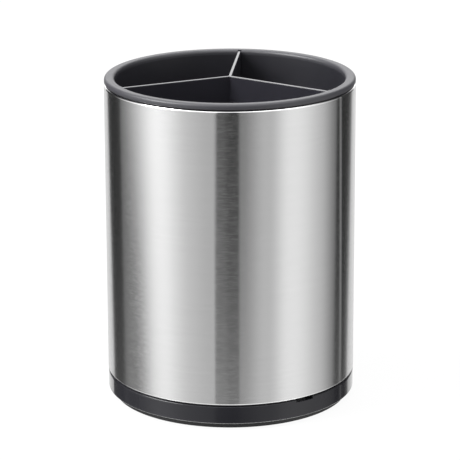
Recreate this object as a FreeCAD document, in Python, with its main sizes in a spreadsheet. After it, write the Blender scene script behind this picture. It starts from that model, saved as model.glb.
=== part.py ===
import FreeCAD, Part
import os

import Sketcher

# A cylindrical utensil holder: a brushed steel sleeve on a swivel base, with a plastic liner
# whose rim caps the sleeve and a three-armed divider that stands in the liner.
# The frame is +Z up, with the origin on the table under the middle of the foot.

# Driving dimensions in millimetres, degrees and counts: name, size, what it measures.
SIZES = [
    ("sleeve_radius", 65.0, "outside radius of the steel sleeve"),
    ("sleeve_length", 153.95, "sleeve from the under side of one lip to the top of the other"),
    ("sleeve_wall", 0.6, "thickness of the steel sheet"),
    ("sleeve_bend", 0.9, "outside radius of the bend into each lip"),
    ("top_lip", 3.0, "how far the top lip turns in from the outside of the sleeve"),
    ("bottom_lip", 4.5, "how far the bottom lip turns in from the outside of the sleeve"),
    ("sleeve_fit", 0.3, "clearance between the bottom lip and the housing's collar"),
    ("foot_reveal", 3.35, "height of the band's lower edge above the table"),
    ("band_inset", 0.1, "how far the band stands back from the sleeve"),
    ("band_height", 9.15, "height of the band"),
    ("band_wall", 2.2, "wall of the band's skirt"),
    ("band_lower_round", 0.5, "rounding of the band's lower edge"),
    ("band_upper_round", 0.5, "rounding of the band's upper edge"),
    ("shadow_gap", 0.7, "height of the gap between band and sleeve"),
    ("shadow_depth", 1.0, "depth of that gap"),
    ("seat_thickness", 2.6, "thickness of the flange that the sleeve stands on"),
    ("collar_wall", 1.9, "wall of the collar inside the sleeve's bottom lip"),
    ("collar_height", 1.6, "height of the collar above the seat"),
    ("hook_count", 6, "snap hooks that hold the sleeve down"),
    ("hook_angle", 13.0, "width of each hook, as an angle about the axis"),
    ("hook_height", 5.3, "height of each hook above the seat"),
    ("hook_grip", 0.8, "how far a barb reaches over the bottom lip"),
    ("hook_land", 0.8, "height of a barb's upright edge"),
    ("hook_play", 0.1, "play between a barb and the bottom lip"),
    ("notch_length", 10.6, "length of the pry notch along the band"),
    ("notch_height", 1.1, "height of the pry notch below the band's upper edge"),
    ("notch_depth", 3.4, "depth of the pry notch into the band"),
    ("notch_azimuth", -49.2, "place of the pry notch about the axis"),
    ("plate_thickness", 2.0, "thickness of the housing's plate over the balls"),
    ("rib_count", 6, "stiffening ribs on that plate"),
    ("rib_width", 1.6, "width of each rib"),
    ("rib_height", 2.5, "height of each rib above the plate"),
    ("hub_wall", 4.0, "wall of the hub round the bush"),
    ("hub_height", 3.8, "height of the hub above the plate"),
    ("foot_lift", 0.2, "height of the foot plate above the table"),
    ("foot_thickness", 3.3, "thickness of the foot plate"),
    ("foot_gap", 0.9, "gap between the foot plate's edge and the skirt"),
    ("foot_round", 0.3, "rounding of the foot plate's edge"),
    ("ring_margin", 3.6, "distance of the soft ring from the foot plate's edge"),
    ("ring_width", 8.0, "width of the soft ring's groove"),
    ("ring_seat", 1.4, "depth of the soft ring's groove"),
    ("ring_fit", 0.05, "clearance of the soft ring in its groove"),
    ("ball_diameter", 5.0, "diameter of a bearing ball"),
    ("ball_count", 16, "balls in the bearing"),
    ("ball_play", 0.1, "play between a ball and each track"),
    ("track_margin", 3.0, "distance of the ball circle from the soft ring"),
    ("track_depth", 0.9, "how deep a ball lies in each plate"),
    ("cage_width", 9.0, "width of the cage ring"),
    ("cage_gap", 0.5, "gap between the cage and each plate"),
    ("cage_play", 0.15, "play of a ball in the cage's hole"),
    ("spindle_radius", 5.0, "radius of the foot plate's spindle"),
    ("shoulder_width", 3.0, "width of the shoulder at the spindle's root"),
    ("shoulder_play", 0.6, "gap between that shoulder and the bush"),
    ("bush_play", 0.05, "running clearance of the bush on the spindle"),
    ("bush_wall", 1.95, "wall of the bush"),
    ("bush_fit", 0.02, "clearance of the bush in the hub"),
    ("bush_flange_width", 2.0, "how far the bush's flange stands out from its wall"),
    ("bush_flange_thickness", 1.2, "thickness of that flange"),
    ("end_play", 0.2, "end play between the bush and the washer"),
    ("washer_cover", 4.5, "how far the washer stands out from the spindle"),
    ("washer_thickness", 1.0, "thickness of the washer"),
    ("washer_play", 0.2, "clearance of the screw in the washer"),
    ("screw_radius", 1.75, "radius of the screw's shank"),
    ("screw_length", 9.0, "length of the shank under the head"),
    ("screw_fit", 0.05, "clearance of the shank in its hole"),
    ("screw_hole_spare", 0.8, "depth of the hole below the screw's end"),
    ("head_radius", 3.6, "radius of the screw's head"),
    ("head_height", 2.4, "height of the screw's head"),
    ("head_round", 1.0, "rounding of the screw's head"),
    ("recess_reach", 2.0, "reach of each arm of the cross recess"),
    ("recess_width", 0.9, "width of each arm of the cross recess"),
    ("recess_depth", 1.3, "depth of the cross recess"),
    ("liner_fit", 0.4, "clearance of the liner in the sleeve's top lip"),
    ("liner_wall", 2.1, "wall of the liner"),
    ("liner_floor", 2.0, "thickness of the liner's floor"),
    ("liner_taper", 1.4, "how much smaller the liner's radius is at the floor"),
    ("liner_clearance", 3.5, "clearance between the hooks and the liner's floor"),
    ("floor_round", 3.0, "rounding between the liner's wall and floor"),
    ("rim_gap", 0.7, "height of the gap between sleeve and rim"),
    ("rim_gap_depth", 1.4, "depth of that gap"),
    ("rim_inset", 0.1, "how far the rim stands back from the sleeve"),
    ("rim_height", 2.75, "height of the rim above that gap"),
    ("rim_outer_round", 1.6, "rounding of the rim's outer upper edge"),
    ("rim_inner_round", 1.8, "rounding of the rim's inner edge"),
    ("rim_lower_round", 0.4, "rounding of the rim's lower edge"),
    ("arm_count", 3, "arms of the divider"),
    ("arm_thickness", 1.6, "thickness of each arm"),
    ("arm_round", 0.25, "rounding along the top of each arm"),
    ("arm_drop", 0.5, "how far the divider's top lies below the rim's"),
    ("arm_play", 0.15, "clearance on each side of an arm in its groove"),
    ("arm_end_play", 0.3, "clearance at the end of an arm"),
    ("groove_depth", 0.9, "depth of the grooves in the liner's wall"),
]

doc = FreeCAD.newDocument("utensil_holder")
sheet = doc.addObject("Spreadsheet::Sheet", "Sizes")
for row, (name, size, meaning) in enumerate(SIZES, start=1):
    sheet.set(f"A{row}", name)
    sheet.set(f"B{row}", str(size))
    sheet.setAlias(f"B{row}", name)
    sheet.set(f"C{row}", meaning)
doc.recompute()

# Radii, worked out from the sleeve inwards.
BAND_R = "(Sizes.sleeve_radius - Sizes.band_inset)"
SHADOW_R = f"({BAND_R} - Sizes.shadow_depth)"
SKIRT_R = f"({BAND_R} - Sizes.band_wall)"
FOOT_R = f"({SKIRT_R} - Sizes.foot_gap)"
RING_OUTER_R = f"({FOOT_R} - Sizes.ring_margin)"
RING_INNER_R = f"({RING_OUTER_R} - Sizes.ring_width)"
PITCH_R = f"({RING_INNER_R} - Sizes.track_margin)"
TRACK_SECTION_R = "(Sizes.ball_diameter / 2 + Sizes.ball_play)"
SLEEVE_INNER_R = "(Sizes.sleeve_radius - Sizes.sleeve_wall)"
TOP_LIP_R = "(Sizes.sleeve_radius - Sizes.top_lip)"
BOTTOM_LIP_R = "(Sizes.sleeve_radius - Sizes.bottom_lip)"
COLLAR_R = f"({BOTTOM_LIP_R} - Sizes.sleeve_fit)"
COLLAR_INNER_R = f"({COLLAR_R} - Sizes.collar_wall)"
BARB_R = f"({BOTTOM_LIP_R} + Sizes.hook_grip)"
BUSH_BORE_R = "(Sizes.spindle_radius + Sizes.bush_play)"
BUSH_R = f"({BUSH_BORE_R} + Sizes.bush_wall)"
BUSH_FLANGE_R = f"({BUSH_R} + Sizes.bush_flange_width)"
HUB_BORE_R = f"({BUSH_R} + Sizes.bush_fit)"
HUB_R = f"({HUB_BORE_R} + Sizes.hub_wall)"
SHOULDER_R = "(Sizes.spindle_radius + Sizes.shoulder_width)"
SCREW_HOLE_R = "(Sizes.screw_radius + Sizes.screw_fit)"
LINER_R = f"({TOP_LIP_R} - Sizes.liner_fit)"
LINER_INNER_R = f"({LINER_R} - Sizes.liner_wall)"
RIM_R = "(Sizes.sleeve_radius - Sizes.rim_inset)"
RIM_SEAT_R = f"({RIM_R} - Sizes.rim_gap_depth)"

# Heights, worked out from the table upwards.
FOOT_TOP = "(Sizes.foot_lift + Sizes.foot_thickness)"
RING_TOP = "(Sizes.foot_lift + Sizes.ring_seat)"
CEILING = f"({FOOT_TOP} + Sizes.ball_diameter - 2 * Sizes.track_depth)"
BALL_Z = f"(({FOOT_TOP} + {CEILING}) / 2)"
PLATE_TOP = f"({CEILING} + Sizes.plate_thickness)"
HUB_TOP = f"({PLATE_TOP} + Sizes.hub_height)"
BUSH_TOP = f"({HUB_TOP} + Sizes.bush_flange_thickness)"
SPINDLE_TOP = f"({BUSH_TOP} + Sizes.end_play)"
WASHER_TOP = f"({SPINDLE_TOP} + Sizes.washer_thickness)"
HEAD_TOP = f"({WASHER_TOP} + Sizes.head_height)"
SCREW_END = f"({WASHER_TOP} - Sizes.screw_length)"
BAND_TOP = "(Sizes.foot_reveal + Sizes.band_height)"
SEAT = f"({BAND_TOP} + Sizes.shadow_gap)"
SEAT_UNDER = f"({SEAT} - Sizes.seat_thickness)"
LIP_TOP = f"({SEAT} + Sizes.sleeve_wall)"
BARB_UNDER = f"({LIP_TOP} + Sizes.hook_play)"
HOOK_TOP = f"({SEAT} + Sizes.hook_height)"
SLEEVE_TOP = f"({SEAT} + Sizes.sleeve_length)"
SLEEVE_LIP_UNDER = f"({SLEEVE_TOP} - Sizes.sleeve_wall)"
RIM_UNDER = f"({SLEEVE_TOP} + Sizes.rim_gap)"
RIM_TOP = f"({RIM_UNDER} + Sizes.rim_height)"
LINER_UNDER = f"({HOOK_TOP} + Sizes.liner_clearance)"
LINER_FLOOR = f"({LINER_UNDER} + Sizes.liner_floor)"
ARM_TOP = f"({RIM_TOP} - Sizes.arm_drop)"

# How a sketch numbers its two axes, the first starting at the origin, and an element's points.
ACROSS_AXIS, UP_AXIS = range(-1, -3, -1)
START, END, CENTRE = range(1, 4)


def value(expression):
    """Work out a size expression."""
    return float(sheet.evalExpression(expression))


def add_body(name):
    """Start a sub-part."""
    body = doc.addObject("PartDesign::Body", name)
    body.Label = name
    return body


def origin_feature(body, role):
    """Find a plane or axis of a body's own origin."""
    return next(item for item in body.Origin.OriginFeatures if item.Role == role)


def add_sketch(body, name, plane="XZ_Plane"):
    """Start a sketch on one of the body's own planes."""
    sketch = body.newObject("Sketcher::SketchObject", name)
    sketch.AttachmentSupport = (origin_feature(body, plane), [""])
    sketch.MapMode = "FlatFace"
    return sketch


def pin_point(sketch, element, point, place):
    """Tie a point of a sketch to a pair of size expressions; "0" lies on the axis."""
    kinds = zip(("DistanceX", "DistanceY"), (UP_AXIS, ACROSS_AXIS), place)
    for kind, axis, expression in kinds:
        if expression == "0":
            sketch.addConstraint(Sketcher.Constraint("PointOnObject", element, point, axis))
            continue
        rule = Sketcher.Constraint(kind, ACROSS_AXIS, START, element, point, value(expression))
        index = sketch.addConstraint(rule)
        sketch.setExpression(f"Constraints[{index}]", expression)


def draw_outline(sketch, corners):
    """Draw a closed outline of straight lines through corners given as size expressions."""
    points = [FreeCAD.Vector(value(across), value(up), 0) for across, up in corners]
    count = len(points)
    for index in range(count):
        sketch.addGeometry(Part.LineSegment(points[index], points[(index + 1) % count]), False)
    for index in range(count):
        following = (index + 1) % count
        sketch.addConstraint(Sketcher.Constraint("Coincident", index, END, following, START))
    for index, corner in enumerate(corners):
        pin_point(sketch, index, START, corner)


def draw_circle(sketch, place, radius):
    """Draw a circle whose centre and radius are size expressions."""
    centre = FreeCAD.Vector(value(place[0]), value(place[1]), 0)
    circle = Part.Circle(centre, FreeCAD.Vector(0, 0, 1), value(radius))
    element = sketch.addGeometry(circle, False)
    pin_point(sketch, element, CENTRE, place)
    index = sketch.addConstraint(Sketcher.Constraint("Radius", element, value(radius)))
    sketch.setExpression(f"Constraints[{index}]", radius)


def turn(body, sketch, angle=None, cut=False):
    """Turn a sketch about the upright axis, all the way or over an angle to both sides."""
    before = body.Shape.Volume if cut else 0
    kind = "Groove" if cut else "Revolution"
    feature = body.newObject(f"PartDesign::{kind}", f"{sketch.Name}_turned")
    feature.Profile = sketch
    feature.ReferenceAxis = (sketch, ["V_Axis"])
    feature.Angle = 360
    if angle:
        feature.Midplane = True
        feature.setExpression("Angle", angle)
    doc.recompute()
    if cut and body.Shape.Volume >= before:
        raise ValueError(f"{feature.Name} cuts nothing")
    return feature


def slab(body, sketch, width, cut=False):
    """Give a sketch a width to both sides of its plane, as material or as a cut."""
    before = body.Shape.Volume if cut else 0
    kind = "Pocket" if cut else "Pad"
    feature = body.newObject(f"PartDesign::{kind}", f"{sketch.Name}_{kind.lower()}")
    feature.Profile = sketch
    feature.SideType = "Symmetric"
    feature.setExpression("Length", width)
    doc.recompute()
    if cut and body.Shape.Volume >= before:
        raise ValueError(f"{feature.Name} cuts nothing")
    return feature


def repeat(body, feature, count, whole=False):
    """Repeat a feature, or the whole body so far, evenly about the upright axis."""
    pattern = body.newObject("PartDesign::PolarPattern", f"{feature.Name}_repeated")
    if whole:
        pattern.TransformMode = "Whole shape"
    else:
        pattern.Originals = [feature]
    pattern.Axis = (origin_feature(body, "Z_Axis"), [""])
    pattern.Angle = 360
    pattern.setExpression("Occurrences", count)
    body.Tip = pattern
    doc.recompute()
    return pattern


def ring_edges(shape, places):
    """Name the round edges about the upright axis at pairs of radius and height."""
    wanted = [(value(radius), value(height)) for radius, height in places]
    names = []
    for index, edge in enumerate(shape.Edges, start=1):
        if not isinstance(edge.Curve, Part.Circle):
            continue
        here = (edge.Curve.Radius, edge.Curve.Center.z)
        if any(abs(here[0] - r) < 1e-4 and abs(here[1] - z) < 1e-4 for r, z in wanted):
            names.append(f"Edge{index}")
    return names


def round_edges(body, radius, edges):
    """Round named edges of a body's last feature."""
    base = body.Tip
    if not edges:
        raise ValueError(f"{body.Label} has no such edges to round")
    fillet = body.newObject("PartDesign::Fillet", f"{base.Name}_rounded")
    fillet.Base = (base, edges)
    fillet.setExpression("Radius", radius)
    doc.recompute()
    return fillet


def round_rings(body, radius, places):
    """Round the ring edges of a body at pairs of radius and height."""
    return round_edges(body, radius, ring_edges(body.Tip.Shape, places))


def rectangle(inner, outer, lower, upper):
    """Corners of an upright rectangle between two radii and two heights."""
    return [(inner, lower), (outer, lower), (outer, upper), (inner, upper)]


def build_steel_sleeve():
    """Steel sheet tube with a lip turned in at each end."""
    body = add_body("steel_sleeve")
    section = add_sketch(body, "sleeve_section")
    draw_outline(section, [
        (BOTTOM_LIP_R, SEAT),
        ("Sizes.sleeve_radius", SEAT),
        ("Sizes.sleeve_radius", SLEEVE_TOP),
        (TOP_LIP_R, SLEEVE_TOP),
        (TOP_LIP_R, SLEEVE_LIP_UNDER),
        (SLEEVE_INNER_R, SLEEVE_LIP_UNDER),
        (SLEEVE_INNER_R, LIP_TOP),
        (BOTTOM_LIP_R, LIP_TOP),
    ])
    turn(body, section)
    outside = [("Sizes.sleeve_radius", SEAT), ("Sizes.sleeve_radius", SLEEVE_TOP)]
    inside = [(SLEEVE_INNER_R, LIP_TOP), (SLEEVE_INNER_R, SLEEVE_LIP_UNDER)]
    round_rings(body, "Sizes.sleeve_bend", outside)
    round_rings(body, "max(Sizes.sleeve_bend - Sizes.sleeve_wall; 0.1)", inside)
    return body


def build_base_housing():
    """Base moulding: outer band, seat and hooks for the sleeve, bearing plate and hub."""
    body = add_body("base_housing")
    section = add_sketch(body, "housing_section")
    draw_outline(section, [
        (HUB_BORE_R, CEILING),
        (COLLAR_R, CEILING),
        (COLLAR_R, SEAT_UNDER),
        (SKIRT_R, SEAT_UNDER),
        (SKIRT_R, "Sizes.foot_reveal"),
        (BAND_R, "Sizes.foot_reveal"),
        (BAND_R, BAND_TOP),
        (SHADOW_R, BAND_TOP),
        (SHADOW_R, SEAT),
        (COLLAR_R, SEAT),
        (COLLAR_R, f"{SEAT} + Sizes.collar_height"),
        (COLLAR_INNER_R, f"{SEAT} + Sizes.collar_height"),
        (COLLAR_INNER_R, PLATE_TOP),
        (HUB_R, PLATE_TOP),
        (HUB_R, HUB_TOP),
        (HUB_BORE_R, HUB_TOP),
    ])
    turn(body, section)
    round_rings(body, "Sizes.band_lower_round", [(BAND_R, "Sizes.foot_reveal")])
    round_rings(body, "Sizes.band_upper_round", [(BAND_R, BAND_TOP)])

    hook = add_sketch(body, "hook")
    draw_outline(hook, [
        (COLLAR_INNER_R, SEAT),
        (COLLAR_R, SEAT),
        (COLLAR_R, BARB_UNDER),
        (BARB_R, BARB_UNDER),
        (BARB_R, f"{BARB_UNDER} + Sizes.hook_land"),
        (f"({COLLAR_R} + {COLLAR_INNER_R}) / 2", HOOK_TOP),
        (COLLAR_INNER_R, HOOK_TOP),
    ])
    repeat(body, turn(body, hook, angle="Sizes.hook_angle"), "Sizes.hook_count")

    rib = add_sketch(body, "rib")
    draw_outline(rib, rectangle(
        f"({HUB_BORE_R} + {HUB_R}) / 2",
        f"({COLLAR_INNER_R} + {COLLAR_R}) / 2",
        f"({CEILING} + {PLATE_TOP}) / 2",
        f"{PLATE_TOP} + Sizes.rib_height",
    ))
    repeat(body, slab(body, rib, "Sizes.rib_width"), "Sizes.rib_count")

    upper_track = add_sketch(body, "upper_track")
    draw_circle(upper_track, (PITCH_R, BALL_Z), TRACK_SECTION_R)
    turn(body, upper_track, cut=True)

    notch = add_sketch(body, "notch")
    upright = FreeCAD.Rotation(FreeCAD.Vector(0, 1, 0), 0)
    notch.AttachmentOffset = FreeCAD.Placement(FreeCAD.Vector(), upright)
    notch.setExpression("AttachmentOffset.Rotation.Angle", "Sizes.notch_azimuth")
    draw_outline(notch, rectangle(
        f"{BAND_R} - Sizes.notch_depth",
        f"{BAND_R} + Sizes.notch_depth",
        f"{BAND_TOP} - Sizes.notch_height",
        SEAT,
    ))
    turn(body, notch, angle=f"Sizes.notch_length / {BAND_R} * 180 / pi", cut=True)
    return body


def build_foot_plate():
    """Turntable foot with its spindle, the lower ball track and the soft ring's groove."""
    body = add_body("foot_plate")
    hole_end = f"{SCREW_END} - Sizes.screw_hole_spare"
    section = add_sketch(body, "foot_section")
    draw_outline(section, [
        ("0", "Sizes.foot_lift"),
        (RING_INNER_R, "Sizes.foot_lift"),
        (RING_INNER_R, RING_TOP),
        (RING_OUTER_R, RING_TOP),
        (RING_OUTER_R, "Sizes.foot_lift"),
        (FOOT_R, "Sizes.foot_lift"),
        (FOOT_R, FOOT_TOP),
        (SHOULDER_R, FOOT_TOP),
        (SHOULDER_R, f"{CEILING} - Sizes.shoulder_play"),
        ("Sizes.spindle_radius", f"{CEILING} - Sizes.shoulder_play"),
        ("Sizes.spindle_radius", SPINDLE_TOP),
        (SCREW_HOLE_R, SPINDLE_TOP),
        (SCREW_HOLE_R, hole_end),
        ("0", hole_end),
    ])
    turn(body, section)
    round_rings(body, "Sizes.foot_round", [(FOOT_R, "Sizes.foot_lift"), (FOOT_R, FOOT_TOP)])
    lower_track = add_sketch(body, "lower_track")
    draw_circle(lower_track, (PITCH_R, BALL_Z), TRACK_SECTION_R)
    turn(body, lower_track, cut=True)
    return body


def build_plain_ring(name, corners):
    """A sub-part that is one turned section."""
    body = add_body(name)
    section = add_sketch(body, f"{name}_section")
    draw_outline(section, corners)
    turn(body, section)
    return body


def build_anti_slip_ring():
    """Soft ring in the foot plate's groove; it is what the holder stands on."""
    inner = f"{RING_INNER_R} + Sizes.ring_fit"
    outer = f"{RING_OUTER_R} - Sizes.ring_fit"
    return build_plain_ring("anti_slip_ring", rectangle(inner, outer, "0", RING_TOP))


def build_pivot_bush():
    """Flanged plain bush in the housing's hub."""
    return build_plain_ring("pivot_bush", [
        (BUSH_BORE_R, CEILING),
        (BUSH_R, CEILING),
        (BUSH_R, HUB_TOP),
        (BUSH_FLANGE_R, HUB_TOP),
        (BUSH_FLANGE_R, BUSH_TOP),
        (BUSH_BORE_R, BUSH_TOP),
    ])


def build_retaining_washer():
    """Steel washer on the spindle's end, over the bush."""
    inner = "Sizes.screw_radius + Sizes.washer_play"
    outer = "Sizes.spindle_radius + Sizes.washer_cover"
    corners = rectangle(inner, outer, SPINDLE_TOP, WASHER_TOP)
    return build_plain_ring("retaining_washer", corners)


def build_retaining_screw():
    """Pan head screw with a cross recess, down the middle of the spindle."""
    body = build_plain_ring("retaining_screw", [
        ("0", SCREW_END),
        ("Sizes.screw_radius", SCREW_END),
        ("Sizes.screw_radius", WASHER_TOP),
        ("Sizes.head_radius", WASHER_TOP),
        ("Sizes.head_radius", HEAD_TOP),
        ("0", HEAD_TOP),
    ])
    round_rings(body, "min(Sizes.head_round; 0.7 * Sizes.head_height)", [("Sizes.head_radius", HEAD_TOP)])
    recess = add_sketch(body, "recess")
    draw_outline(recess, rectangle(
        "0",
        "Sizes.recess_reach",
        f"{HEAD_TOP} - Sizes.recess_depth",
        f"{HEAD_TOP} + Sizes.recess_depth",
    ))
    repeat(body, slab(body, recess, "Sizes.recess_width", cut=True), "4")
    return body


def build_ball_cage():
    """Flat ring between the plates, with a hole for each ball."""
    body = build_plain_ring("ball_cage", rectangle(
        f"{PITCH_R} - Sizes.cage_width / 2",
        f"{PITCH_R} + Sizes.cage_width / 2",
        f"{FOOT_TOP} + Sizes.cage_gap",
        f"{CEILING} - Sizes.cage_gap",
    ))
    hole = add_sketch(body, "ball_hole", "XY_Plane")
    draw_circle(hole, (PITCH_R, "0"), "Sizes.ball_diameter / 2 + Sizes.cage_play")
    repeat(body, slab(body, hole, f"4 * {CEILING}", cut=True), "Sizes.ball_count")
    return body


def build_balls():
    """Bearing balls, evenly round the ball circle."""
    balls = []
    for number in range(round(value("Sizes.ball_count"))):
        ball = doc.addObject("Part::Sphere", f"ball_{number + 1:02d}")
        ball.Label = f"ball_{number + 1:02d}"
        azimuth = f"{number} * 360 deg / Sizes.ball_count"
        ball.setExpression("Radius", "Sizes.ball_diameter / 2")
        ball.setExpression("Placement.Base.x", f"{PITCH_R} * cos({azimuth})")
        ball.setExpression("Placement.Base.y", f"{PITCH_R} * sin({azimuth})")
        ball.setExpression("Placement.Base.z", BALL_Z)
        balls.append(ball)
    doc.recompute()
    return balls


def build_liner():
    """Tapered inner cup whose rim rests on the sleeve's top lip, grooved for the divider."""
    body = add_body("liner")
    foot_outer = f"{LINER_R} - Sizes.liner_taper"
    floor_inner = f"{LINER_INNER_R} - Sizes.liner_taper"
    section = add_sketch(body, "liner_section")
    draw_outline(section, [
        ("0", LINER_UNDER),
        (foot_outer, LINER_UNDER),
        (LINER_R, SLEEVE_TOP),
        (RIM_SEAT_R, SLEEVE_TOP),
        (RIM_SEAT_R, RIM_UNDER),
        (RIM_R, RIM_UNDER),
        (RIM_R, RIM_TOP),
        (LINER_INNER_R, RIM_TOP),
        (floor_inner, LINER_FLOOR),
        ("0", LINER_FLOOR),
    ])
    turn(body, section)
    round_rings(body, "Sizes.floor_round", [(foot_outer, LINER_UNDER), (floor_inner, LINER_FLOOR)])
    round_rings(body, "min(Sizes.rim_lower_round; 0.2 * Sizes.rim_height)", [(RIM_R, RIM_UNDER)])
    round_rings(body, "min(Sizes.rim_outer_round; 0.7 * Sizes.rim_height)", [(RIM_R, RIM_TOP)])
    round_rings(body, "Sizes.rim_inner_round", [(LINER_INNER_R, RIM_TOP)])

    groove = add_sketch(body, "groove", "YZ_Plane")
    clear_of_floor_round = f"{floor_inner} - 2 * Sizes.floor_round"
    above_rim = f"{RIM_TOP} + Sizes.rim_height"
    draw_outline(groove, [
        (clear_of_floor_round, LINER_FLOOR),
        (f"{floor_inner} + Sizes.groove_depth", LINER_FLOOR),
        (f"{LINER_INNER_R} + Sizes.groove_depth", RIM_TOP),
        (f"{LINER_INNER_R} + Sizes.groove_depth", above_rim),
        (clear_of_floor_round, above_rim),
    ])
    groove_width = "Sizes.arm_thickness + 2 * Sizes.arm_play"
    repeat(body, slab(body, groove, groove_width, cut=True), "Sizes.arm_count")
    return body


def build_divider():
    """Divider of flat arms from the middle to the grooves in the liner's wall."""
    body = add_body("divider")
    reach = f"{LINER_INNER_R} + Sizes.groove_depth - Sizes.arm_end_play"
    taper_over_drop = f"Sizes.liner_taper * Sizes.arm_drop / ({RIM_TOP} - {LINER_FLOOR})"
    arm = add_sketch(body, "arm", "YZ_Plane")
    draw_outline(arm, [
        ("0", LINER_FLOOR),
        (f"{reach} - Sizes.liner_taper", LINER_FLOOR),
        (f"{reach} - {taper_over_drop}", ARM_TOP),
        ("0", ARM_TOP),
    ])
    blade = slab(body, arm, "Sizes.arm_thickness")
    top = value(ARM_TOP)
    top_edges = []
    for index, edge in enumerate(blade.Shape.Edges, start=1):
        ends = [corner.Point for corner in edge.Vertexes]
        along_arm = abs(ends[0].y - ends[-1].y) > 1
        if along_arm and all(abs(end.z - top) < 1e-6 for end in ends):
            top_edges.append(f"Edge{index}")
    rounded = round_edges(body, "min(Sizes.arm_round; 0.4 * Sizes.arm_thickness)", top_edges)
    repeat(body, rounded, "Sizes.arm_count", whole=True)
    return body


sub_parts = [
    build_foot_plate(),
    build_anti_slip_ring(),
    build_ball_cage(),
    *build_balls(),
    build_base_housing(),
    build_pivot_bush(),
    build_retaining_washer(),
    build_retaining_screw(),
    build_steel_sleeve(),
    build_liner(),
    build_divider(),
]
doc.recompute()

for item in doc.Objects:
    if "Invalid" in item.State or "Error" in item.State:
        raise RuntimeError(f"{item.Name} failed: {item.State}")
for part in sub_parts:
    if part.Shape.isNull() or not part.Shape.isValid() or len(part.Shape.Solids) != 1:
        raise RuntimeError(f"{part.Label} is not one valid solid")

os.makedirs("parts", exist_ok=True)
for part in sub_parts:
    part.Shape.exportStep(f"parts/{part.Label}.step")
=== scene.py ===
import math

import bmesh
import bpy
from mathutils import Matrix, Vector


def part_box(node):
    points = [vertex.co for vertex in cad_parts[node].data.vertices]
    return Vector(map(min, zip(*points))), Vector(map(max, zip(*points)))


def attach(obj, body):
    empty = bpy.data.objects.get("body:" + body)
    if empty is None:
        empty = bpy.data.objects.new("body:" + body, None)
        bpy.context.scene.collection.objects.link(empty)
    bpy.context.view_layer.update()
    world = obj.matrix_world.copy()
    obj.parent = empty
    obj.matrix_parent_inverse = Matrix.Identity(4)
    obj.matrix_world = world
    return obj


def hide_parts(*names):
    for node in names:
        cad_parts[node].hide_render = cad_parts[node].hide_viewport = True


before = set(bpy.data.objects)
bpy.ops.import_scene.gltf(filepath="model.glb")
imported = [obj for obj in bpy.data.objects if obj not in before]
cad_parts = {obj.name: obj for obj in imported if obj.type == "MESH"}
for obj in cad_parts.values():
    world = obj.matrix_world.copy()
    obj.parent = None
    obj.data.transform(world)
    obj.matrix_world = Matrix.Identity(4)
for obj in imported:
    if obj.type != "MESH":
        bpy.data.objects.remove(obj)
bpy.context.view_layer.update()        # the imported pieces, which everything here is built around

# The foot plate is the part of the turntable that stays still: a disc moulded in black plastic, with
# a spindle in its middle, a track for the balls on top and a groove below for a soft ring.
# The holder turns on it, and only its edge shows, set back under the band.
mm = 0.001
STEPS_AROUND = 288          # faces round a whole turned piece
ROUND_SEGMENTS = 6          # faces across a rounded corner
HOLD = 0.2                  # mm from a corner to the loop that keeps the flat beside it flat
SHARP = math.radians(35)    # edges bent more than this are shaded as sharp


class Wire:
    """A socket in a node tree that can be used in sums, and from which further nodes are made."""

    def __init__(self, tree, socket=None):
        self.tree = tree
        self.socket = socket

    def node(self, kind, settings=None, sockets=None, output=0):
        """Add a node of a type, set it up, fill its sockets with values or links, give one output."""
        node = self.tree.nodes.new("ShaderNode" + kind)
        for name, setting in (settings or {}).items():
            setattr(node, name, setting)
        for name, filling in (sockets or {}).items():
            if isinstance(filling, Wire):
                self.tree.links.new(filling.socket, node.inputs[name])
            else:
                node.inputs[name].default_value = filling
        return Wire(self.tree, node.outputs[output]) if node.outputs else node

    def maths(self, operation, *terms):
        """Add a Math node on numbers and sockets."""
        return self.node("Math", {"operation": operation}, dict(enumerate(terms)))

    def __add__(self, other):
        return self.maths("ADD", self, other)

    def __sub__(self, other):
        return self.maths("SUBTRACT", self, other)

    def __rsub__(self, other):
        return self.maths("SUBTRACT", other, self)

    def __mul__(self, other):
        return self.maths("MULTIPLY", self, other)

    __radd__ = __add__
    __rmul__ = __mul__


def new_finish(name):
    """Start a material and give its node tree."""
    material = bpy.data.materials.new(name)
    material.use_nodes = True
    material.node_tree.nodes.clear()
    return material, Wire(material.node_tree)


def use_shader(wire, shader):
    """Send a shader to the material's surface."""
    wire.node("OutputMaterial", sockets={"Surface": shader})


def stretched_noise(wire, scale, detail=2.0, stretch=(1, 1, 1)):
    """Noise on the piece's own coordinates, with so many grains per metre along each axis."""
    place = wire.node("TexCoord", output=3)
    mapped = wire.node("Mapping", sockets={"Vector": place, "Scale": stretch})
    return wire.node("TexNoise", sockets={"Vector": mapped, "Scale": scale, "Detail": detail})


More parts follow.
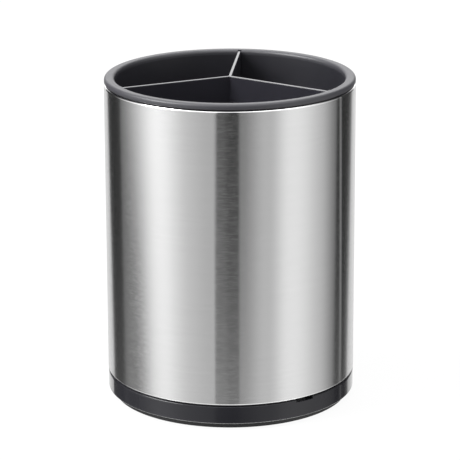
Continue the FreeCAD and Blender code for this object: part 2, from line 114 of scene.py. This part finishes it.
def moulded_plastic(name, colour, roughness, grain_height, ior=1.5, edge_gloss=0.0, painted_highlight=None):
    """Moulded plastic: one colour with a faint cloud in it, a fine grain, and any gloss seen edge-on.

    A painted highlight is a paler colour by height that stands in for the light an edge catches. It is
    given as the height in mm where it starts, the height where it is full, and its colour.
    """
    material, wire = new_finish(name)
    cloud = stretched_noise(wire, 45)
    grain = stretched_noise(wire, 2600, 1.0)
    lighter = [1.35 * part for part in colour]
    tint = wire.node("Mix", {"data_type": "RGBA"}, {
        "Factor": cloud, 6: (*colour, 1), 7: (*lighter, 1)}, output=2)
    # A paler colour by height: a painted highlight on an edge.
    if painted_highlight:
        start, full, highlight_colour = painted_highlight
        place = wire.node("TexCoord", output=3)
        height = wire.node("SeparateXYZ", sockets={"Vector": place}, output=2)
        highlight_amount = wire.node("MapRange", sockets={
            "Value": height, "From Min": start * mm, "From Max": full * mm})
        tint = wire.node("Mix", {"data_type": "RGBA"}, {
            "Factor": highlight_amount * (0.7 + 0.3 * cloud), 6: tint, 7: (*highlight_colour, 1)}, output=2)
    bump = wire.node("Bump", sockets={"Height": grain, "Distance": grain_height, "Strength": 0.6})
    sockets = {
        "Base Color": tint,
        "Roughness": roughness - 0.04 + 0.08 * cloud,
        "IOR": ior,
        "Normal": bump,
    }
    if edge_gloss:
        edge_on = wire.node("LayerWeight", output=1)
        sockets["Coat Weight"] = edge_gloss * wire.node("MapRange", sockets={
            "Value": edge_on, "From Min": 0.5, "From Max": 0.7})
    use_shader(wire, wire.node("BsdfPrincipled", sockets=sockets))
    return material


def turn(whole, corners, start=0.0, sweep=360.0, closed=True):
    """Turn half a section, given as radius, height and any rounding in mm, and add it to a mesh."""
    section = bmesh.new()
    verts = [section.verts.new((mm * corner[0], 0, mm * corner[1])) for corner in corners]
    following = verts[1:] + verts[:1] if closed else verts[1:]
    for vert, after in zip(verts, following):
        section.edges.new((vert, after))
    for vert, corner in zip(verts, corners):
        if len(corner) == 3:
            bmesh.ops.bevel(section, geom=[vert], offset=mm * corner[2], offset_type="OFFSET",
                            affect="VERTICES", segments=ROUND_SEGMENTS, profile=0.5, material=-1)
    for edge in list(section.edges):
        length = edge.calc_length() / mm
        if length > 4 * HOLD:
            edge, _ = bmesh.utils.edge_split(edge, edge.verts[0], HOLD / length)
            length = edge.calc_length() / mm
            bmesh.utils.edge_split(edge, edge.verts[1], HOLD / length)
    bmesh.ops.rotate(section, verts=section.verts, cent=(0, 0, 0),
                     matrix=Matrix.Rotation(math.radians(start), 3, "Z"))
    steps = max(2, round(STEPS_AROUND * sweep / 360))
    bmesh.ops.spin(section, geom=section.verts[:] + section.edges[:], cent=(0, 0, 0), axis=(0, 0, 1),
                   dvec=(0, 0, 0), angle=math.radians(sweep), steps=steps, use_merge=sweep == 360,
                   use_duplicate=False)
    spun = bpy.data.meshes.new("spun")
    section.to_mesh(spun)
    section.free()
    whole.from_mesh(spun)
    bpy.data.meshes.remove(spun)


def close_up(whole):
    """Merge what meets, fill the open ends and point every face outwards."""
    bmesh.ops.remove_doubles(whole, verts=whole.verts, dist=0.002 * mm)
    bmesh.ops.dissolve_degenerate(whole, edges=whole.edges, dist=0.001 * mm)
    bmesh.ops.holes_fill(whole, edges=[edge for edge in whole.edges if edge.is_boundary], sides=0)
    bmesh.ops.recalc_face_normals(whole, faces=whole.faces)


def make_piece(whole, name, node, body, material):
    """Turn a finished bmesh into a piece that stands for a CAD node and moves with its body."""
    for face in whole.faces:
        face.smooth = True
    for edge in whole.edges:
        edge.smooth = edge.calc_face_angle(0) < SHARP
    mesh = bpy.data.meshes.new(name)
    whole.to_mesh(mesh)
    whole.free()
    mesh.materials.append(material)
    piece = bpy.data.objects.new(name, mesh)
    bpy.context.scene.collection.objects.link(piece)
    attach(piece, body)
    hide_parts(node)


def ball_track(radius, height, section, first, last):
    """Points across a ball track's round section, between two angles in degrees."""
    count = 8
    angles = [math.radians(first + (last - first) * step / count) for step in range(count + 1)]
    return [(radius + section * math.cos(a), height + section * math.sin(a)) for a in angles]


foot_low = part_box("foot_plate")[0].z / mm
spindle_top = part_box("foot_plate")[1].z / mm
foot_radius = 61.8
foot_round = 0.3
foot_top = foot_low + 3.3
groove_inner, groove_outer = 50.2, 58.2
groove_top = foot_low + 1.4
ceiling = foot_top + 3.2
shoulder_radius = 8.0
shoulder_top = ceiling - 0.6
spindle_radius = 5.0
screw_hole = 1.8
hole_end = ceiling - 1.6
ball_height = (foot_top + ceiling) / 2
ball_circle = 47.2
track_section = 2.6
track_half_angle = math.degrees(math.asin((ceiling - ball_height) / track_section))

foot_black = moulded_plastic("foot_black", (0.006, 0.006, 0.0065), 0.55, 0.03 * mm)
foot = bmesh.new()
turn(foot, [
    (0, foot_low), (groove_inner, foot_low), (groove_inner, groove_top),
    (groove_outer, groove_top), (groove_outer, foot_low),
    (foot_radius, foot_low, foot_round), (foot_radius, foot_top, foot_round),
    *ball_track(ball_circle, ball_height, track_section, -track_half_angle, track_half_angle - 180),
    (shoulder_radius, foot_top), (shoulder_radius, shoulder_top),
    (spindle_radius, shoulder_top), (spindle_radius, spindle_top),
    (screw_hole, spindle_top), (screw_hole, hole_end), (0, hole_end),
], closed=False)
close_up(foot)
make_piece(foot, "turntable_foot", "foot_plate", "foot", foot_black)

# The soft ring is a flat band of black thermoplastic rubber pressed into the groove under the foot
# plate. It is what the holder stands on, and it keeps the foot from sliding while the rest turns.
ring_inner, ring_outer = groove_inner + 0.05, groove_outer - 0.05
ring_round = 0.3

soft_black, wire = new_finish("soft_black")
bloom = stretched_noise(wire, 120, 3.0)
nap = stretched_noise(wire, 3500)
use_shader(wire, wire.node("BsdfPrincipled", sockets={
    "Base Color": wire.node("Mix", {"data_type": "RGBA"}, {
        "Factor": bloom, 6: (0.008, 0.008, 0.008, 1), 7: (0.02, 0.02, 0.021, 1)}, output=2),
    "Roughness": 0.72 + 0.15 * bloom,
    "Normal": wire.node("Bump", sockets={"Height": nap, "Distance": 0.05 * mm, "Strength": 0.8}),
}))
ring = bmesh.new()
turn(ring, [
    (ring_inner, 0, ring_round), (ring_outer, 0, ring_round),
    (ring_outer, groove_top), (ring_inner, groove_top),
])
close_up(ring)
make_piece(ring, "soft_ring", "anti_slip_ring", "foot", soft_black)

# The bearing lies between foot plate and housing: steel balls, polished, in the holes of a flat ring
# of natural white acetal. Nothing fixes them but the two tracks that they run in.
bearing_white, wire = new_finish("bearing_white")
milk = stretched_noise(wire, 60)
use_shader(wire, wire.node("BsdfPrincipled", sockets={
    "Base Color": wire.node("Mix", {"data_type": "RGBA"}, {
        "Factor": milk, 6: (0.70, 0.69, 0.64, 1), 7: (0.78, 0.77, 0.73, 1)}, output=2),
    "Roughness": 0.36 + 0.1 * milk,
    "Subsurface Weight": 0.1,
    "Subsurface Radius": (2 * mm, 2 * mm, 2 * mm),
}))
ball_steel, wire = new_finish("ball_steel")
rolled = stretched_noise(wire, 900)
use_shader(wire, wire.node("BsdfPrincipled", sockets={
    "Base Color": (0.60, 0.60, 0.61, 1),
    "Metallic": 1.0,
    "Roughness": 0.06 + 0.05 * rolled,
}))


def dress(node, material):
    """Give a CAD piece its finish."""
    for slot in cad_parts[node].material_slots:
        slot.material = material


dress("ball_cage", bearing_white)
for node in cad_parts:
    if node.startswith("ball_") and node != "ball_cage":
        dress(node, ball_steel)

# The base housing is moulded in black plastic with a soft gloss. Its band shows under the sleeve, with
# a notch in its upper edge for prying the sleeve off; inside are the plate over the balls, the hub,
# and the ribs and hooks that the sleeve's bottom lip snaps over.
band_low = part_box("base_housing")[0].z / mm
band_top = band_low + 9.15
seat = band_top + 0.7
band_radius = 64.9
band_round = 0.5
skirt_inner = 62.7
shadow_radius = 63.9
seat_under = seat - 2.6
collar_inner, collar_outer = 58.3, 60.2
collar_top = seat + 1.6
notch_azimuth = -49.2
notch_width = math.degrees(10.6 / band_radius)
notch_floor = band_top - 1.1
notch_back = band_radius - 3.4
plate_top = ceiling + 2.0
hub_bore, hub_radius = 7.02, 11.02
hub_top = plate_top + 3.8
hook_count = 6
hook_width = 13.0
hook_tip, barb_radius = 59.25, 61.3
barb_under, barb_top, hook_top = seat + 0.7, seat + 1.5, seat + 5.3
rib_count = 6
rib_inner, rib_outer, rib_width = 9.02, 59.25, 1.6
rib_low, rib_top = (ceiling + plate_top) / 2, plate_top + 2.5

# The paler colour along the band's rounded lower edge is a painted highlight line. It stands in for the
# light that edge catches.
band_black = moulded_plastic(
    "band_black", (0.0130, 0.0130, 0.0158), 0.14, 0.004 * mm, ior=1.4, edge_gloss=1.0,
    painted_highlight=(band_low + band_round, band_low + 0.6 * band_round, (0.16, 0.16, 0.165)))
below_notch = [
    (hub_bore, ceiling),
    *ball_track(ball_circle, ball_height, track_section, 180 - track_half_angle, track_half_angle),
    (collar_outer, ceiling), (collar_outer, seat_under), (skirt_inner, seat_under),
    (skirt_inner, band_low), (band_radius, band_low, band_round), (band_radius, notch_floor),
]
above_notch = [
    (notch_back, seat), (collar_outer, seat), (collar_outer, collar_top), (collar_inner, collar_top),
    (collar_inner, plate_top), (hub_radius, plate_top), (hub_radius, hub_top), (hub_bore, hub_top),
]
whole_edge = [(band_radius, band_top, band_round), (shadow_radius, band_top), (shadow_radius, seat)]
notched_edge = [(notch_back, notch_floor)]
housing = bmesh.new()
turn(housing, below_notch + whole_edge + above_notch,
     start=notch_azimuth + notch_width / 2, sweep=360 - notch_width)
turn(housing, below_notch + notched_edge + above_notch,
     start=notch_azimuth - notch_width / 2, sweep=notch_width)
hook = [
    (collar_inner, seat), (collar_outer, seat), (collar_outer, barb_under), (barb_radius, barb_under),
    (barb_radius, barb_top), (hook_tip, hook_top), (collar_inner, hook_top),
]
for number in range(hook_count):
    turn(housing, hook, start=number * 360 / hook_count - hook_width / 2, sweep=hook_width)
close_up(housing)
for number in range(rib_count):
    turned = Matrix.Rotation(math.radians(number * 360 / rib_count), 4, "Z")
    moved = Matrix.Translation(mm * Vector(((rib_inner + rib_outer) / 2, 0, (rib_low + rib_top) / 2)))
    sized = Matrix.Diagonal((mm * (rib_outer - rib_inner), mm * rib_width, mm * (rib_top - rib_low), 1))
    bmesh.ops.create_cube(housing, size=1, matrix=turned @ moved @ sized)
make_piece(housing, "base_band", "base_housing", "holder", band_black)

# The pivot is a flanged bush of white acetal pressed into the hub. A zinc plated washer and screw on
# the end of the foot plate's spindle keep the housing from lifting off.
zinc, wire = new_finish("zinc")
spangle = stretched_noise(wire, 700, 3.0)
use_shader(wire, wire.node("BsdfPrincipled", sockets={
    "Base Color": wire.node("Mix", {"data_type": "RGBA"}, {
        "Factor": spangle, 6: (0.50, 0.51, 0.53, 1), 7: (0.62, 0.62, 0.62, 1)}, output=2),
    "Metallic": 1.0,
    "Roughness": 0.24 + 0.2 * spangle,
}))
dress("pivot_bush", bearing_white)
dress("retaining_washer", zinc)
dress("retaining_screw", zinc)

# The sleeve is stainless sheet, rolled round, welded up the back and brushed round its girth, with a
# lip turned in at both ends, smoother where it bends and paler there as a painted highlight. Its bottom
# lip snaps over the housing's hooks.
sleeve_radius = 65.0
sheet = 0.6
bend = 0.9
bottom_lip, top_lip = 60.5, 62.0
seam_core, seam_edge = 0.4, 0.9
sleeve_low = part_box("steel_sleeve")[0].z / mm
sleeve_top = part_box("steel_sleeve")[1].z / mm

brushed_steel, wire = new_finish("brushed_steel")
strokes = stretched_noise(wire, 1.0, 3.0, (40, 40, 1500))
fine_strokes = stretched_noise(wire, 1.0, 2.0, (90, 90, 6000))
dashes = stretched_noise(wire, 1.0, 2.0, (300, 300, 3200))
place = wire.node("TexCoord", output=3)
across = wire.node("SeparateXYZ", sockets={"Vector": place}, output=0)
backward = wire.node("SeparateXYZ", sockets={"Vector": place}, output=1)
height = wire.node("SeparateXYZ", sockets={"Vector": place}, output=2)
beside = wire.maths("ABSOLUTE", across)
behind = wire.maths("GREATER_THAN", backward, 0)
seam = behind * wire.node("MapRange", sockets={
    "Value": beside, "From Min": seam_edge * mm, "From Max": seam_core * mm})
relief = dashes + 0.5 * fine_strokes
bump = wire.node("Bump", sockets={"Height": relief, "Distance": 0.005 * mm, "Strength": 1.0})
scratched = wire.node("MapRange", sockets={"Value": dashes, "From Min": 0.42, "From Max": 0.68})
below = wire.node("MapRange", sockets={
    "Value": height, "From Min": (sleeve_low + bend) * mm, "From Max": (sleeve_low + 0.8 * bend) * mm})
above = wire.node("MapRange", sockets={
    "Value": height, "From Min": (sleeve_top - bend) * mm, "From Max": (sleeve_top - 0.8 * bend) * mm})
# The bends are smoother, and their tone is raised towards white as a painted highlight along both bend
# lines.
bends_polish_and_highlight = below + above
brushed = wire.node("Mix", {"data_type": "RGBA"}, {
    "Factor": strokes - 1.2 * seam, 6: (0.595, 0.595, 0.595, 1), 7: (0.63, 0.63, 0.63, 1)}, output=2)
tone = wire.node("Mix", {"data_type": "RGBA"}, {
    "Factor": bends_polish_and_highlight, 6: brushed, 7: (0.93, 0.93, 0.93, 1)}, output=2)
use_shader(wire, wire.node("BsdfPrincipled", sockets={
    "Base Color": tone,
    "Metallic": 1.0,
    "Roughness": 0.135 + 0.065 * scratched + 0.06 * seam - 0.08 * bends_polish_and_highlight,
    "Anisotropic": 1.0,
    "Anisotropic Rotation": 0.25,
    "Normal": bump,
}))
sleeve = bmesh.new()
turn(sleeve, [
    (bottom_lip, sleeve_low), (sleeve_radius, sleeve_low, bend), (sleeve_radius, sleeve_top, bend),
    (top_lip, sleeve_top), (top_lip, sleeve_top - sheet),
    (sleeve_radius - sheet, sleeve_top - sheet, bend - sheet),
    (sleeve_radius - sheet, sleeve_low + sheet, bend - sheet), (bottom_lip, sleeve_low + sheet),
])
close_up(sleeve)
make_piece(sleeve, "brushed_sleeve", "steel_sleeve", "holder", brushed_steel)

# The liner is a tapered cup moulded in black plastic. It drops into the sleeve and hangs from its rim,
# which rests on the sleeve's top lip; three shallow grooves up its wall take the divider.
liner_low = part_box("liner")[0].z / mm
rim_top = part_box("liner")[1].z / mm
rim_under = rim_top - 2.75
rim_radius = 64.9
rim_seat = 63.5
rim_lower_round, rim_outer_round, rim_inner_round = 0.4, 1.6, 1.8
wall_top, wall_foot, wall = 59.5, 58.1, 2.1
floor_top = liner_low + 2.0
floor_round = 3.0
groove_depth, groove_width = 0.9, 1.9
arm_azimuths = (90, 210, 330)
groove_sweep = math.degrees(groove_width / wall_top)

# The paler colour over the whole rim is painted light. It stands in for the light that the rim's top and
# front catch.
liner_black = moulded_plastic("liner_black", (0.0140, 0.0138, 0.0176), 0.43, 0.02 * mm,
                              painted_highlight=(rim_under, rim_under + rim_lower_round, (0.043, 0.0425, 0.049)))
outside_and_rim = [
    (0, liner_low), (wall_foot + wall, liner_low, floor_round), (wall_top + wall, sleeve_top),
    (rim_seat, sleeve_top), (rim_seat, rim_under),
    (rim_radius, rim_under, rim_lower_round), (rim_radius, rim_top, rim_outer_round),
    (wall_top + rim_inner_round + 0.3, rim_top),
]
plain_wall = [(wall_top, rim_top, rim_inner_round), (wall_foot, floor_top, floor_round)]
grooved_wall = [(wall_top + groove_depth, rim_top), (wall_foot + groove_depth, floor_top)]
floor = [(wall_foot - floor_round - 1, floor_top), (0, floor_top)]
liner = bmesh.new()
for azimuth in arm_azimuths:
    turn(liner, outside_and_rim + grooved_wall + floor,
         start=azimuth - groove_sweep / 2, sweep=groove_sweep, closed=False)
    turn(liner, outside_and_rim + plain_wall + floor,
         start=azimuth + groove_sweep / 2, sweep=120 - groove_sweep, closed=False)
close_up(liner)
make_piece(liner, "liner_cup", "liner", "liner", liner_black)

# The divider is one black moulding of three flat arms that meet in the middle. It stands on the
# liner's floor with the ends of its arms in the grooves, and lifts straight out.
arm_half = 0.8
arm_round = 0.25
arm_play = 0.3
arm_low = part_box("divider")[0].z / mm
arm_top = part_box("divider")[1].z / mm
reach_top = wall_top + groove_depth - arm_play
reach_foot = wall_foot + groove_depth - arm_play
crotch = arm_half / math.sin(math.radians(60))

divider_black = moulded_plastic("divider_black", (0.0235, 0.0230, 0.0290), 0.12, 0.004 * mm)
divider = bmesh.new()
outline = []
for azimuth in arm_azimuths:
    along = Matrix.Rotation(math.radians(azimuth), 3, "Z")
    between = Matrix.Rotation(math.radians(azimuth + 60), 3, "Z")
    outline.append(along @ Vector((reach_foot, -arm_half, arm_low)))
    outline.append(along @ Vector((reach_foot, arm_half, arm_low)))
    outline.append(between @ Vector((crotch, 0, arm_low)))
foot_face = divider.faces.new([divider.verts.new(mm * corner) for corner in outline])
raised = bmesh.ops.extrude_face_region(divider, geom=[foot_face])["geom"]
top_verts = [item for item in raised if isinstance(item, bmesh.types.BMVert)]
bmesh.ops.translate(divider, verts=top_verts, vec=(0, 0, mm * (arm_top - arm_low)))
for vert in top_verts:
    from_axis = Vector((vert.co.x, vert.co.y, 0))
    if from_axis.length > 2 * mm * crotch:
        spread = mm * (reach_top - reach_foot)
        bmesh.ops.translate(divider, verts=[vert], vec=from_axis.normalized() * spread)
bmesh.ops.recalc_face_normals(divider, faces=divider.faces)
top_edges = [edge for edge in divider.edges if all(vert in top_verts for vert in edge.verts)]
bmesh.ops.bevel(divider, geom=top_edges, offset=mm * arm_round, offset_type="OFFSET", affect="EDGES",
                segments=3, profile=0.5, material=-1)
top_face = max(divider.faces, key=lambda face: face.calc_center_median().z)
bmesh.ops.inset_region(divider, faces=[top_face], thickness=mm * HOLD / 3, use_even_offset=True)
bmesh.ops.bisect_plane(divider, geom=divider.verts[:] + divider.edges[:] + divider.faces[:],
                       plane_co=(0, 0, mm * (arm_top - arm_round - HOLD)), plane_no=(0, 0, 1))
make_piece(divider, "y_divider", "divider", "divider", divider_black)

# The stage is a plain white table top that glows evenly, with hardly a shadow, in a white studio: soft
# panels to the left and right of the camera with a dark gap between them, a backdrop, a large soft
# panel overhead, and one small key lamp high on the left.
camera_azimuth = 5.0

table_white, wire = new_finish("table_white")
use_shader(wire, wire.node("BsdfPrincipled", sockets={
    "Base Color": (0.05, 0.05, 0.05, 1),
    "Roughness": 1.0,
    "Specular IOR Level": 0.0,
    "Emission Color": (1, 1, 1, 1),
    "Emission Strength": 0.94,
}))
table = bmesh.new()
bmesh.ops.create_grid(table, x_segments=1, y_segments=1, size=4)
table_mesh = bpy.data.meshes.new("table")
table.to_mesh(table_mesh)
table.free()
table_mesh.materials.append(table_white)
table_top = bpy.data.objects.new("table", table_mesh)
bpy.context.scene.collection.objects.link(table_top)
table_top.visible_glossy = False

room = bpy.data.worlds.new("studio")
room.use_nodes = True
room.node_tree.nodes.clear()
bpy.context.scene.world = room
wire = Wire(room.node_tree)
towards = wire.node("TexCoord", output=0)
seen = wire.node("VectorRotate", {"rotation_type": "Z_AXIS"},
                 {"Vector": towards, "Angle": math.radians(-camera_azimuth)})
across = wire.node("SeparateXYZ", sockets={"Vector": seen}, output=0)
away = wire.node("SeparateXYZ", sockets={"Vector": seen}, output=1)
up = wire.node("SeparateXYZ", sockets={"Vector": seen}, output=2)
compass = wire.maths("ARCTAN2", across, 0 - away) * math.degrees(1)    # 0 at the camera, + to its right


def ramp_up(value, low, high):
    """Rise smoothly from 0 to 1 between two values."""
    return wire.node("MapRange", {"interpolation_type": "SMOOTHSTEP"},
                     {"Value": value, "From Min": low, "From Max": high})


def panel(angle, left, right, left_soft, right_soft, brightness, right_angle=None):
    """A panel between two azimuths with soft edges so wide; its right edge may lean by another angle."""
    right_angle = right_angle or angle
    edges = (ramp_up(angle, left - left_soft / 2, left + left_soft / 2)
             - ramp_up(right_angle, right - right_soft / 2, right + right_soft / 2))
    return edges * brightness


narrowing = wire.node("MapRange", sockets={
    "Value": up, "From Min": -0.36, "From Max": -0.18, "To Min": 1.12, "To Max": 0.89})
leaning = compass * narrowing
hardly_leaning = compass * (0.8 + 0.2 * narrowing)
leaning_back = compass * (2 - narrowing)
gap_left, gap_soft = -13.2, 0.6

left_panel = (panel(compass, -119, gap_left, 3, gap_soft, 0.15, leaning_back)
              + panel(leaning, -101, gap_left, 34, gap_soft, 0.45, leaning_back)
              + panel(leaning, -101, -33, 34, 34, 0.10, compass)
              + panel(leaning, -84, -33, 40, 34, 0.16, compass)
              + panel(leaning, -84, -57, 40, 38, 0.60, compass))
right_panel = (panel(compass, 8, 114, 2, 5, 0.22) + panel(compass, 21, 103, 26, 24, 0.42)
               + panel(hardly_leaning, 46, 81, 22, 38, 0.52))
gap_line = panel(compass * (1.3 - 0.3 * narrowing), 120.5, 123.5, 2, 2, 0.3)
behind_camera = (panel(leaning_back, gap_left, 8, gap_soft, 2, 0.005, compass)
                 + panel(leaning_back, gap_left, -4, gap_soft, 8, 0.07, compass))
backdrop = (panel(hardly_leaning, -200, -148, 1, 2, 0.8) + panel(hardly_leaning, 142, 200, 11, 1, 0.2)
            + panel(hardly_leaning, 147, 200, 3, 1, 0.6))
low_glow = ramp_up(0 - up, 0.30, 0.38) * (
    0.05 - panel(compass, -104, gap_left, 10, gap_soft, 0.05, leaning_back)
    + panel(leaning_back, gap_left, 34, gap_soft, 24, 0.03, compass))
above_table = 1 - ramp_up(0 - up, 0.42, 0.72)
high_backdrop = ramp_up(up, 0.02, 0.16) * (
    panel(compass, -190, -158, 1, 16, 1.1) + panel(compass, 158, 190, 16, 1, 1.1))
overhead = ramp_up(up, 0.62, 0.85) * 1.5
key_lamp = ramp_up(0.655 * up - 0.74 * across - 0.15 * away, 0.94, 0.98) * 16
underneath = ramp_up(0 - up, 0.42, 0.75) * 0.95
table_behind = ramp_up(0 - up, 0.8, 0.9) * ramp_up(away, 0, 0.1) * 2.5
upright = left_panel + right_panel + gap_line + behind_camera + backdrop
light = (0.041 + low_glow + above_table * upright + high_backdrop + overhead + key_lamp
         + underneath + table_behind)
wire.node("OutputWorld", sockets={"Surface": wire.node("Background", sockets={"Color": light})})
bpy.context.scene.view_settings.view_transform = "Standard"

# The camera has a long lens and stands a few degrees round from the front, higher than the rim.
# It looks down at the middle of the holder and is very slightly rolled.
image_width = 460
focal_in_pixels = 2552
camera_stand = Vector((0, -1.2837, 0.4674))
camera_aim = Vector((-0.0002, 0, 0.0873))
camera_roll = -0.192
camera_data = bpy.data.cameras.new("camera")
camera_data.sensor_width = 36.0
camera_data.lens = camera_data.sensor_width * focal_in_pixels / image_width
camera = bpy.data.objects.new("camera", camera_data)
swing = Matrix.Rotation(math.radians(camera_azimuth), 4, "Z")
look = (camera_aim - camera_stand).to_track_quat("-Z", "Y").to_matrix().to_4x4()
roll = Matrix.Rotation(math.radians(camera_roll), 4, "Z")
camera.matrix_world = swing @ Matrix.Translation(camera_stand) @ look @ roll
bpy.context.scene.collection.objects.link(camera)
bpy.context.scene.camera = camera
